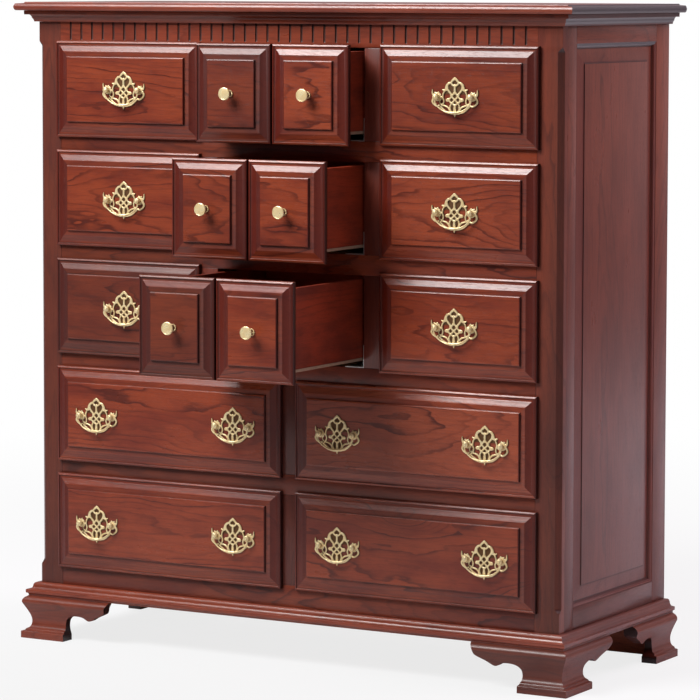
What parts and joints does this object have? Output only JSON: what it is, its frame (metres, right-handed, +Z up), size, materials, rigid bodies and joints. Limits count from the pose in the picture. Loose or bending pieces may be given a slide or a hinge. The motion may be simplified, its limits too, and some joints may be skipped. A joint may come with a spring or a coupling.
{
  "type": "block front chest of drawers",
  "caption": "Tall chest of drawers in cherry with raised block fronts, brass bail pulls and knobs, a moulded top and ogee bracket feet.",
  "frame": {"origin": "on the floor, in the middle of the whole object's box with the centre drawers open as pictured", "axes": "+Z up, +Y from the drawer fronts to the back, +X to the right as seen from the front"},
  "size_m": [1.2966, 0.8072, 1.338],
  "materials": {
    "cherry_front": "satin lacquer over stained cherry",
    "cherry_case": "satin lacquer over stained cherry",
    "drawer_wood": "stained drawer sides, low gloss",
    "inner_wood": "unfinished secondary wood",
    "brass": "polished, slightly aged"
  },
  "bodies": {
    "case": {"top_board": "cherry_case", "cornice_moulding": "cherry_case", "frieze_rail": "cherry_case", "face_frame": "cherry_case", "left_side": "cherry_case", "right_side": "cherry_case", "back_panel": "inner_wood", "inner_frame": "inner_wood", "bottom_board": "inner_wood", "base_moulding": "cherry_case", "foot_front_left": "cherry_case", "foot_front_right": "cherry_case", "foot_rear_left": "cherry_case", "foot_rear_right": "cherry_case"},
    "drawer_row1_left": {"front_row1_left": "cherry_front", "box_row1_left": "drawer_wood"},
    "bail_row1_left": {"bail_row1_left": "brass"},
    "drawer_row1_centre": {"front_row1_centre": "cherry_front", "box_row1_centre": "drawer_wood", "knob_row1_left": "brass", "knob_row1_right": "brass"},
    "drawer_row1_right": {"front_row1_right": "cherry_front", "box_row1_right": "drawer_wood"},
    "bail_row1_right": {"bail_row1_right": "brass"},
    "drawer_row2_left": {"front_row2_left": "cherry_front", "box_row2_left": "drawer_wood"},
    "bail_row2_left": {"bail_row2_left": "brass"},
    "drawer_row2_centre": {"front_row2_centre": "cherry_front", "box_row2_centre": "drawer_wood", "knob_row2_left": "brass", "knob_row2_right": "brass"},
    "drawer_row2_right": {"front_row2_right": "cherry_front", "box_row2_right": "drawer_wood"},
    "bail_row2_right": {"bail_row2_right": "brass"},
    "drawer_row3_left": {"front_row3_left": "cherry_front", "box_row3_left": "drawer_wood"},
    "bail_row3_left": {"bail_row3_left": "brass"},
    "drawer_row3_centre": {"front_row3_centre": "cherry_front", "box_row3_centre": "drawer_wood", "knob_row3_left": "brass", "knob_row3_right": "brass"},
    "drawer_row3_right": {"front_row3_right": "cherry_front", "box_row3_right": "drawer_wood"},
    "bail_row3_right": {"bail_row3_right": "brass"},
    "drawer_row4_left": {"front_row4_left": "cherry_front", "box_row4_left": "drawer_wood"},
    "bail_row4_left_a": {"bail_row4_left_a": "brass"},
    "bail_row4_left_b": {"bail_row4_left_b": "brass"},
    "drawer_row4_right": {"front_row4_right": "cherry_front", "box_row4_right": "drawer_wood"},
    "bail_row4_right_a": {"bail_row4_right_a": "brass"},
    "bail_row4_right_b": {"bail_row4_right_b": "brass"},
    "drawer_row5_left": {"front_row5_left": "cherry_front", "box_row5_left": "drawer_wood"},
    "bail_row5_left_a": {"bail_row5_left_a": "brass"},
    "bail_row5_left_b": {"bail_row5_left_b": "brass"},
    "drawer_row5_right": {"front_row5_right": "cherry_front", "box_row5_right": "drawer_wood"},
    "bail_row5_right_a": {"bail_row5_right_a": "brass"},
    "bail_row5_right_b": {"bail_row5_right_b": "brass"}
  },
  "joints": [
    {"name": "slide_row1_left", "type": "slide", "parent": "case", "child": "drawer_row1_left", "axis": [0, -1, 0], "range_m": [0, 0.34]},
    {"name": "swing_row1_left", "type": "hinge", "parent": "drawer_row1_left", "child": "bail_row1_left", "pos_m": [-0.386, -0.10895, 1.158], "axis": [-1, 0, 0], "range_deg": [-10, 150]},
    {"name": "slide_row1_centre", "type": "slide", "parent": "case", "child": "drawer_row1_centre", "axis": [0, -1, 0], "range_m": [-0.065, 0.275]},
    {"name": "slide_row1_right", "type": "slide", "parent": "case", "child": "drawer_row1_right", "axis": [0, -1, 0], "range_m": [0, 0.34]},
    {"name": "swing_row1_right", "type": "hinge", "parent": "drawer_row1_right", "child": "bail_row1_right", "pos_m": [0.386, -0.10895, 1.158], "axis": [-1, 0, 0], "range_deg": [-10, 150]},
    {"name": "slide_row2_left", "type": "slide", "parent": "case", "child": "drawer_row2_left", "axis": [0, -1, 0], "range_m": [0, 0.34]},
    {"name": "swing_row2_left", "type": "hinge", "parent": "drawer_row2_left", "child": "bail_row2_left", "pos_m": [-0.386, -0.10895, 0.932], "axis": [-1, 0, 0], "range_deg": [-10, 150]},
    {"name": "slide_row2_centre", "type": "slide", "parent": "case", "child": "drawer_row2_centre", "axis": [0, -1, 0], "range_m": [-0.155, 0.185]},
    {"name": "slide_row2_right", "type": "slide", "parent": "case", "child": "drawer_row2_right", "axis": [0, -1, 0], "range_m": [0, 0.34]},
    {"name": "swing_row2_right", "type": "hinge", "parent": "drawer_row2_right", "child": "bail_row2_right", "pos_m": [0.386, -0.10895, 0.932], "axis": [-1, 0, 0], "range_deg": [-10, 150]},
    {"name": "slide_row3_left", "type": "slide", "parent": "case", "child": "drawer_row3_left", "axis": [0, -1, 0], "range_m": [0, 0.34]},
    {"name": "swing_row3_left", "type": "hinge", "parent": "drawer_row3_left", "child": "bail_row3_left", "pos_m": [-0.386, -0.10895, 0.706], "axis": [-1, 0, 0], "range_deg": [-10, 150]},
    {"name": "slide_row3_centre", "type": "slide", "parent": "case", "child": "drawer_row3_centre", "axis": [0, -1, 0], "range_m": [-0.275, 0.065]},
    {"name": "slide_row3_right", "type": "slide", "parent": "case", "child": "drawer_row3_right", "axis": [0, -1, 0], "range_m": [0, 0.34]},
    {"name": "swing_row3_right", "type": "hinge", "parent": "drawer_row3_right", "child": "bail_row3_right", "pos_m": [0.386, -0.10895, 0.706], "axis": [-1, 0, 0], "range_deg": [-10, 150]},
    {"name": "slide_row4_left", "type": "slide", "parent": "case", "child": "drawer_row4_left", "axis": [0, -1, 0], "range_m": [0, 0.34]},
    {"name": "swing_row4_left_a", "type": "hinge", "parent": "drawer_row4_left", "child": "bail_row4_left_a", "pos_m": [-0.45563, -0.10895, 0.48], "axis": [-1, 0, 0], "range_deg": [-10, 150]},
    {"name": "swing_row4_left_b", "type": "hinge", "parent": "drawer_row4_left", "child": "bail_row4_left_b", "pos_m": [-0.12262, -0.10895, 0.48], "axis": [-1, 0, 0], "range_deg": [-10, 150]},
    {"name": "slide_row4_right", "type": "slide", "parent": "case", "child": "drawer_row4_right", "axis": [0, -1, 0], "range_m": [0, 0.34]},
    {"name": "swing_row4_right_a", "type": "hinge", "parent": "drawer_row4_right", "child": "bail_row4_right_a", "pos_m": [0.12262, -0.10895, 0.48], "axis": [-1, 0, 0], "range_deg": [-10, 150]},
    {"name": "swing_row4_right_b", "type": "hinge", "parent": "drawer_row4_right", "child": "bail_row4_right_b", "pos_m": [0.45563, -0.10895, 0.48], "axis": [-1, 0, 0], "range_deg": [-10, 150]},
    {"name": "slide_row5_left", "type": "slide", "parent": "case", "child": "drawer_row5_left", "axis": [0, -1, 0], "range_m": [0, 0.34]},
    {"name": "swing_row5_left_a", "type": "hinge", "parent": "drawer_row5_left", "child": "bail_row5_left_a", "pos_m": [-0.45563, -0.10895, 0.254], "axis": [-1, 0, 0], "range_deg": [-10, 150]},
    {"name": "swing_row5_left_b", "type": "hinge", "parent": "drawer_row5_left", "child": "bail_row5_left_b", "pos_m": [-0.12262, -0.10895, 0.254], "axis": [-1, 0, 0], "range_deg": [-10, 150]},
    {"name": "slide_row5_right", "type": "slide", "parent": "case", "child": "drawer_row5_right", "axis": [0, -1, 0], "range_m": [0, 0.34]},
    {"name": "swing_row5_right_a", "type": "hinge", "parent": "drawer_row5_right", "child": "bail_row5_right_a", "pos_m": [0.12262, -0.10895, 0.254], "axis": [-1, 0, 0], "range_deg": [-10, 150]},
    {"name": "swing_row5_right_b", "type": "hinge", "parent": "drawer_row5_right", "child": "bail_row5_right_b", "pos_m": [0.45563, -0.10895, 0.254], "axis": [-1, 0, 0], "range_deg": [-10, 150]}
  ]
}
